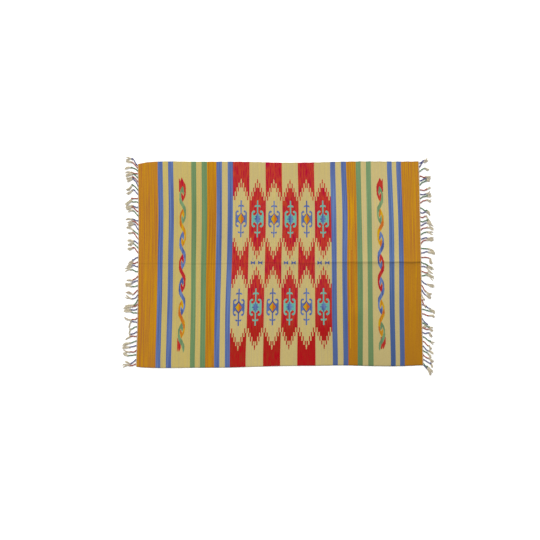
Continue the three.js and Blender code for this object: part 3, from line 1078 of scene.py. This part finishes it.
class Finish:
    """A material and its nodes."""

    def __init__(self, name):
        self.material = bpy.data.materials.new(name)
        self.material.use_nodes = True
        self.tree = self.material.node_tree
        self.tree.nodes.clear()

    def node(self, kind, settings=None, inputs=None):
        return add_node(self.tree, kind, settings, inputs)

    def maths(self, operation, *terms):
        made = self.node("ShaderNodeMath", {"operation": operation}, dict(enumerate(terms)))
        return Value(self, made.outputs[0])

    def mix(self, share, one, other):
        """From one colour to the other."""
        made = self.node("ShaderNodeMix", {"data_type": "RGBA"}, {0: share, 6: one, 7: other})
        return made.outputs[2]

    def dim(self, colour, light):
        """A colour in less or more light."""
        return self.node("ShaderNodeVectorMath", {"operation": "SCALE"}, {0: colour, "Scale": light})

    def noise(self, sort, along, across):
        """Soft noise between 0 and 1, of one of the sorts in the tables."""
        x = along * sort["along"] + sort["start"]
        place = self.node("ShaderNodeCombineXYZ", inputs={"X": x, "Y": across * sort["across"]})
        made = self.node(
            "ShaderNodeTexNoise",
            {"noise_dimensions": "2D"},
            {"Vector": place, "Scale": 1, "Detail": sort["detail"], "Roughness": 0.6},
        )
        return Value(self, made.outputs["Fac"])

    def chance(self, x, y):
        """A number between 0 and 1 that is unlike for each pair of whole numbers."""
        place = self.node("ShaderNodeCombineXYZ", inputs={"X": x, "Y": y})
        made = self.node("ShaderNodeTexWhiteNoise", {"noise_dimensions": "2D"}, {"Vector": place})
        return Value(self, made.outputs["Value"])

    def ramp(self, at, end, stops, way):
        """The colour of a place, from stops that give a place and a colour, the first at the start."""
        start = stops[0][0]
        made = self.node("ShaderNodeValToRGB", inputs={"Fac": (at - start) / (end - start)})
        made.color_ramp.interpolation = way
        elements = made.color_ramp.elements
        elements.remove(elements[-1])
        elements[0].color = (*stops[0][1], 1)
        for place, colour in stops[1:]:
            elements.new((place - start) / (end - start)).color = (*colour, 1)
        return made.outputs["Color"]

    def line(self, at, points):
        """The value of a drawn line through the points."""
        low = min(value for _, value in points)
        high = max(value for _, value in points)
        stops = [(place, [(value - low) / (high - low)] * 3) for place, value in points]
        grey = self.ramp(at, points[-1][0], stops, "LINEAR")
        apart = self.node("ShaderNodeSeparateColor", inputs={0: grey})
        return Value(self, apart.outputs[0]) * (high - low) + low

    def coat(self, inputs):
        """The finished material, from the inputs of its shader."""
        shader = self.node("ShaderNodeBsdfPrincipled", inputs=inputs)
        self.node("ShaderNodeOutputMaterial", inputs={"Surface": shader})
        return self.material


def in_diamond(aside, off, half_width, half_height):
    return aside / half_width + off / half_height < 1


class Weaving(Finish):
    """The flat-woven cloth: every colour is settled bead by bead.

    The weft is the place along the mat of a bead's middle, and the warp its place across."""

    def __init__(self):
        super().__init__("woven_cotton")
        place = self.node("ShaderNodeUVMap", {"uv_map": "woven"})
        apart = self.node("ShaderNodeSeparateXYZ", inputs={0: place})
        self.along = Value(self, apart.outputs["X"]) * (1 / MM)
        self.across = Value(self, apart.outputs["Y"]) * (1 / MM)
        self.rib = (self.across / RIB_WIDTH).floor()
        stagger = (self.rib % 2) * 0.5
        self.bead = (self.along / BEAD_LENGTH + stagger).floor()
        self.weft = (self.bead - stagger + 0.5) * BEAD_LENGTH
        self.warp = (self.rib + 0.5) * RIB_WIDTH
        sorts = (STREAKS, PATCHES, DASHES)
        streak, patch, dash = (self.noise(sort, self.weft, self.warp) for sort in sorts)
        self.batch = ((streak - 0.5) * STREAKS["contrast"] + 0.5).held()
        self.lot = ((patch - 0.5) * PATCHES["contrast"] + 0.5).held()
        self.dash = ((streak + dash - 1) * DASHES["contrast"] + 0.5).held()
        self.crease_line = self.line(self.along, CREASE_LINE)
        past_fold = ((self.crease_line - self.warp) / CORNER["fold_width"] + 0.5).held()
        nearer = (-self.warp / CORNER["near"]).held()
        self.right = ((self.along - CORNER["right_from"]) / CORNER["right"]).held()
        deep = past_fold * CORNER["deep_past_fold"] + nearer * CORNER["deep_near"]
        self.deep = (self.weft > FIELD_END) & deep
        # Painted shade, past the fold and towards the near right corner.
        self.shade = self.right * (past_fold * CORNER["painted_shade_past_fold"] + nearer * CORNER["painted_shade_near"])

    def yarn(self, name, share=None):
        """A yarn between its two tones, by its batch or by a share of its own."""
        one, other = ((*linear(tone), 1) for tone in YARNS[name][:2])
        return self.mix(self.batch if share is None else share, one, other)

    def stripes(self, stripes, end):
        """The stripes of one end, in both tones of each batch, and deeper towards the near right."""
        ramps = []
        for tone in range(3):
            stops = [(place, linear(three_tones(yarn)[tone])) for place, yarn in stripes]
            ramps.append(self.ramp(self.weft, end, stops, "CONSTANT"))
        return self.mix(self.deep, self.mix(self.batch, *ramps[:2]), ramps[2])

    def lozenge(self, aside):
        """Where the toothed lozenges of a column lie, and the spot in the second row of each."""
        far, near = (half - abs(self.warp - centre) for centre, half in LOZENGES)
        in_from_tip = far.most(near)
        row = (in_from_tip / TOOTH["row"]).floor()
        outer = row * TOOTH["step"] + TOOTH["first"]
        slit = aside.between(outer - TOOTH["slit_from"], outer - TOOTH["slit_to"])
        pointed = (row > 0.5) | (aside < in_from_tip * TOOTH["tip_flare"] + TOOTH["tip"])
        stepped = (aside < outer) & (1 - slit) & pointed
        toothed = (row > -0.5) & ((row > TOOTH["rows"] - 0.5) | stepped)
        return toothed, row.is_number(1) & (aside < TOOTH["spot"])

    def medallion(self, aside, off, side):
        """Where the hooked medallion lies, by the way aside of its middle and up or down from it."""
        forms = ("hook", "pocket", "blob", "stem", "arm")
        hook, pocket, blob, stem, arm = (MEDALLION[form] for form in forms)
        round_end = (off - hook["from"]).most(0) / hook["round"]
        shell = ((aside - hook["aside"]) / (side - hook["aside"])) ** 2 + round_end**2
        in_pocket_aside = (aside - pocket["aside"]) / pocket["width"]
        in_pocket_off = (off - pocket["off"]) / pocket["height"]
        outside_pocket = in_pocket_aside**2 + in_pocket_off**2 > 1
        hooked = (aside > hook["aside"]) & (shell < 1) & outside_pocket
        hook_tip = (aside - blob["aside"]) ** 2 + (off - blob["off"]) ** 2 < blob["radius"] ** 2
        body = (off < MEDALLION["body"]) & (aside < side)
        diamond = in_diamond(aside, off, *MEDALLION["diamond"])
        stalk = (aside < stem["half_width"]) & off.between(stem["from"], stem["to"])
        inward = self.warp.between(*sorted(MEDALLION_ROWS))
        arm_off = abs(off - arm["off"] - inward * arm["inward_further"] + (aside**2) * arm["bend"])
        arms = (aside < arm["reach"]) & (arm_off < arm["half_width"] + aside * arm["flare"])
        return body | hooked | hook_tip | stalk | arms | diamond

    def half_link(self, down, aside):
        """Whether a point lies in the upper half of a link of the chain."""
        barb = (down < BARB_SLIT[1][0]) & (aside < self.line(down, BARB_INSIDE))
        above_slit = (down < BARB_SLIT[0][0]) | (aside > self.line(down, BARB_SLIT))
        arm = (down > ARM_INSIDE[0][0]) & (aside < self.line(down, ARM_INSIDE))
        return (aside > self.line(down, HOOK_OUTSIDE)) & ((barb & above_slit) | arm)

    def chain(self, ground):
        """The hooked links, from the forked flag at the far end to the forked tail at the near end."""
        on_right = self.weft > 0
        aside = lerp(self.weft - CHAINS["left"], CHAINS["right"] - self.weft, on_right)
        links = (LINK["first_tip"] - self.warp) / LINK["pitch"]
        link = links.floor()
        down = (links - link) * LINK["pitch"]
        whole = 2 * LINK["half"]
        turned = down > LINK["half"]
        this = self.half_link(down.least(whole - down), aside * (1 - turned * 2))
        past = whole - LINK["pitch"]
        former = self.half_link(past - down, -aside) & (down < past)
        fork_side = abs(aside - FLAG["fork_aside"]) * lerp(*FLAG["fork_steep"], on_right)
        top = fork_side + FLAG["fork"]
        this = this & link.between(-1.5, LINK["count"] - 0.5) & ((link > -0.5) | (self.warp < top))
        tapered = abs(aside - LAST_LINK["aside"]) < (LAST_LINK["tip"] - down) * LAST_LINK["taper"]
        former = former & link.between(-0.5, LINK["count"] + 0.5) & ((link < LINK["count"] - 0.5) | tapered)
        inner = (FLAG["tip_aside"] + (FLAG["tip"] - self.warp) * FLAG["slant"]).least(FLAG["inner"])
        flag = aside.between(FLAG["outer"], inner) & self.warp.between(FLAG["base"], top)
        red = self.yarn("red", self.dash)
        colour = self.mix(flag | self.tail(aside, on_right), ground, red)
        for mask, number in ((former, link - 1), (this, link)):
            from_middle = abs(number - LINK["count"] // 2)
            shade = red
            for step, yarn in enumerate(LINK_YARNS, 1):
                shade = self.mix(from_middle.is_number(step), shade, self.yarn(yarn, self.lot))
            colour = self.mix(mask, colour, shade)
        return colour

    def tail(self, aside, on_right):
        """The forked tail of a chain, narrower on the left and slanted on the right."""
        past_bend = (TAIL["outer_bend"] - self.warp).most(0)
        outer = past_bend * lerp(*TAIL["outer_slant"], on_right) + TAIL["outer"]
        inner = (self.warp - TAIL["inner_from"]) * TAIL["inner_slant"]
        inner = (inner + lerp(*TAIL["inner_start"], on_right)).least(lerp(*TAIL["inner"], on_right))
        fork_off = abs(aside - lerp(*TAIL["fork_aside"], on_right)) * TAIL["fork_steep"]
        end = (lerp(*TAIL["fork"], on_right) - fork_off).most(lerp(*TAIL["end"], on_right))
        return aside.between(outer, inner) & self.warp.between(end, TAIL["base"])

    def field_red(self, column):
        """The red of the field, which turns to brick at the near end, with fewer dashes on the right."""
        near_end = ((BRICK["from"] - self.warp) / BRICK["over"]).held()
        last_columns = column > BRICK["last_column"] - 0.5
        brick = self.yarn("brick", self.dash * (1 - last_columns * BRICK["fewer_dashes"]))
        return self.mix(near_end, self.yarn("red", self.dash), brick)

    def medallions(self, colour, aside, pale, right_half):
        """In the red columns with a navy and a gold diamond, in the sand ones with a blue star."""
        off = abs(self.warp - MEDALLION_ROWS[0]).least(abs(self.warp - MEDALLION_ROWS[1]))
        near_row = self.warp < 0
        shape = self.medallion(aside, off, pale * MEDALLION["sand_wider"] + MEDALLION["half_width"])
        colour = self.mix(shape, colour, self.mix(pale, self.yarn("blue"), self.yarn("teal")))
        outline = in_diamond(aside, off, *OUTLINE) & (1 - pale)
        colour = self.mix(outline, colour, self.yarn("navy"))
        heart_height = HEART["half_height"] - near_row * HEART["near_lower"]
        heart = in_diamond(aside, off, HEART["half_width"], heart_height) & (1 - pale)
        gold = self.yarn("gold", self.lot * HEART["by_lot"] + right_half * HEART["by_half"])
        colour = self.mix(heart, colour, gold)
        ray_height = STAR["ray"][1] - near_row * STAR["near_lower"]
        arm_width = near_row * STAR["near_wider"] + STAR["arm"][0]
        star = in_diamond(aside, off, STAR["ray"][0], ray_height)
        star = star | in_diamond(aside, off, arm_width, STAR["arm"][1])
        star = star | in_diamond(aside, abs(off - STAR["point_off"]), *STAR["point"])
        blue = self.yarn("blue", self.lot * STAR["by_lot"] + (1 - right_half) * STAR["by_half"])
        return self.mix(star & pale, colour, blue)

    def bows(self, colour, aside, pale):
        """A bow-tie on each side of the middle of a sand column, and faint rays beyond it."""
        past_bow = abs(aside - BOW["aside"])
        off_bow = abs(self.warp - BOW["across"])
        bow = (past_bow < BOW["half_length"]) & (off_bow < past_bow * BOW["flare"] + BOW["waist"])
        blue = self.yarn("blue")
        colour = self.mix(bow & pale, colour, self.mix(0.5, self.yarn("navy"), blue))
        ray = (past_bow < BOW_RAY["half_width"]) & off_bow.between(BOW_RAY["from"], BOW_RAY["to"])
        return self.mix(ray & pale & BOW_RAY["shows"], colour, blue)

    def field(self):
        """The six columns with their lozenges, medallions and bows."""
        width = (FIELD_END - FIELD_START) / COLUMNS
        middle, half = (FIELD_START + FIELD_END) / 2, (FIELD_END - FIELD_START) / 2
        lean = FIELD_LEAN - ((self.weft - middle) / half) ** 2 * FIELD_LEAN
        columns = (self.weft - FIELD_START + lean) / width
        column = columns.floor()
        aside = abs(columns - column - 0.5) * width
        pale = column % 2
        toothed, spot = self.lozenge(aside)
        is_sand = abs(toothed - pale)
        red, sand = self.field_red(column), self.yarn("sand")
        colour = self.mix(is_sand, red, sand)
        colour = self.mix(spot & toothed & TOOTH["spot_shows"], colour, self.mix(is_sand, sand, red))
        colour = self.medallions(colour, aside, pale, columns - column > 0.5)
        return self.bows(colour, aside, pale)

    def pattern(self):
        """The stripes with their chains and odd wefts, and the field between them."""
        left = self.stripes(LEFT_STRIPES, FIELD_START)
        right = self.stripes(RIGHT_STRIPES, HALF_LENGTH)
        colour = self.mix(self.weft > 0, left, right)
        for place, half_width, (start, end), tone in ODD_WEFTS:
            here = (abs(self.weft - place) < half_width) & self.warp.between(start, end)
            colour = self.mix(here * ODD_WEFT_SHOWS, colour, (*linear(tone), 1))
        return self.mix(self.weft.between(FIELD_START, FIELD_END), self.chain(colour), self.field())

    def light(self):
        """How much light comes back, less where shade is painted: the crease, the selvedges, the near right.
        """
        grain = (self.chance(self.bead, self.rib) - 0.5) * GRAIN + 1
        faded = (self.noise(FADING, self.along, self.across) - 0.5) * FADING["depth"] + 1
        # Painted shade along the long edges of the cloth.
        selvedge_shade = self.right * SELVEDGE_SHADE["right_darker"] + SELVEDGE_SHADE["darker"]
        selvedge_shade = (abs(self.across) > HALF_WIDTH - SELVEDGE_SHADE["width"]) * selvedge_shade
        # Painted shade along the crease, darker towards the right.
        wander = (self.noise(CREASE_WANDER, self.along, self.across) - 0.5) * CREASE_WANDER["reach"]
        half_width = self.right * CREASE_SHADE["right_wider"] + CREASE_SHADE["half_width"]
        crease = (1 - abs(self.across - self.crease_line - wander) / half_width).held()
        crease_shade = ((self.along / CLOTH_LENGTH + 0.5) ** 2) * CREASE_SHADE["right_darker"] + CREASE_SHADE["darker"]
        return grain * faded * (1 - selvedge_shade) * (1 - crease * crease_shade) * (1 - self.shade) * CLOTH_GIVES_BACK

    def relief(self):
        """The rounding of each bead along its rib, and of each rib."""
        in_bead = (self.along - self.weft) / BEAD_LENGTH
        in_rib = (self.across - self.warp) / RIB_WIDTH
        bead = 1 - (in_bead**2) * 4
        rib = 1 - (in_rib**2) * 4
        height = lerp(rib, bead, BEAD_SHARE)
        inputs = {"Strength": 1, "Distance": BEAD_RELIEF * MM, "Height": height}
        return self.node("ShaderNodeBump", inputs=inputs)

    def finish(self):
        return self.coat(
            {
                "Base Color": self.dim(self.pattern(), self.light()),
                "Normal": self.relief(),
                "Roughness": 0.92,
                "Specular IOR Level": 0.08,
                "Sheen Weight": 0.02,
                "Sheen Roughness": 0.5,
            }
        )


def spun_cotton():
    """The cords and tufts: each point of a yarn has its own dye."""
    finish = Finish("spun_cotton")
    dye = finish.node("ShaderNodeAttribute", {"attribute_name": "dye"})
    place = finish.node("ShaderNodeTexCoord").outputs["Object"]
    noise_inputs = {"Vector": place, "Scale": FIBRES["scale"], "Detail": FIBRES["detail"]}
    noise = finish.node("ShaderNodeTexNoise", inputs=noise_inputs)
    fibre = Value(finish, noise.outputs["Fac"])
    relief = {"Strength": FIBRES["strength"], "Distance": FIBRES["height"] * MM, "Height": fibre}
    return finish.coat(
        {
            "Base Color": finish.dim(dye.outputs["Color"], (fibre - 0.5) * FIBRES["contrast"] + 1),
            "Normal": finish.node("ShaderNodeBump", inputs=relief),
            "Roughness": 0.95,
            "Specular IOR Level": 0.2,
            "Sheen Weight": 0.1,
        }
    )


def make_floor():
    half = FLOOR["half_width"]
    corners = [(-half, -half, 0), (half, -half, 0), (half, half, 0), (-half, half, 0)]
    paint = Finish("pale_floor").coat({"Base Color": FLOOR["paint"], "Roughness": FLOOR["roughness"]})
    mesh_object("floor", corners, [(0, 1, 2, 3)], paint)


def light_room():
    """Even light from all round, and one wide lamp high up beyond the far edge."""
    scene = bpy.context.scene
    scene.view_settings.view_transform = "Standard"
    world = bpy.data.worlds.new("room")
    world.use_nodes = True
    background = world.node_tree.nodes["Background"].inputs
    background["Color"].default_value = (1, 1, 1, 1)
    background["Strength"].default_value = ROOM_LIGHT
    scene.world = world
    lamp = bpy.data.lights.new("softbox", "AREA")
    lamp.shape = "DISK"
    lamp.size = SOFTBOX["size"]
    lamp.energy = SOFTBOX["energy"]
    light = bpy.data.objects.new("softbox", lamp)
    light.location = SOFTBOX["place"]
    light.rotation_euler = [math.radians(angle) for angle in SOFTBOX["turned"]]
    scene.collection.objects.link(light)


def set_camera(shift):
    """A long lens straight over the mat."""
    scene = bpy.context.scene
    camera_data = bpy.data.cameras.new("camera")
    camera_data.lens = CAMERA["lens"]
    camera = bpy.data.objects.new("camera", camera_data)
    height = CAMERA["sees"] * CAMERA["lens"] / CAMERA["film"]
    camera.location = ((shift[0] + CAMERA["along"]) * MM, (shift[1] + CAMERA["across"]) * MM, height)
    scene.collection.objects.link(camera)
    scene.camera = camera


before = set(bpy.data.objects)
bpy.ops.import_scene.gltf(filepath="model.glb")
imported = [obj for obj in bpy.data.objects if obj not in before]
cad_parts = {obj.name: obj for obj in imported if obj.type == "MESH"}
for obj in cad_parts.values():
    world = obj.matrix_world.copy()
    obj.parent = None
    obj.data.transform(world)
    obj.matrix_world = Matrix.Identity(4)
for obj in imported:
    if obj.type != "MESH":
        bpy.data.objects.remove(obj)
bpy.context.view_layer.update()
shift = find_shift()
cloth = make_cloth(Weaving().finish(), shift)
cotton = spun_cotton()
tree = strand_tree()
for name, fringe in FRINGES.items():
    piece = make_fringe(name, fringe, tree, cotton, shift)
    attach(piece, "root")
    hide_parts(name)
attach(cloth, "root")
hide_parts("mat")
make_floor()
light_room()
set_camera(shift)
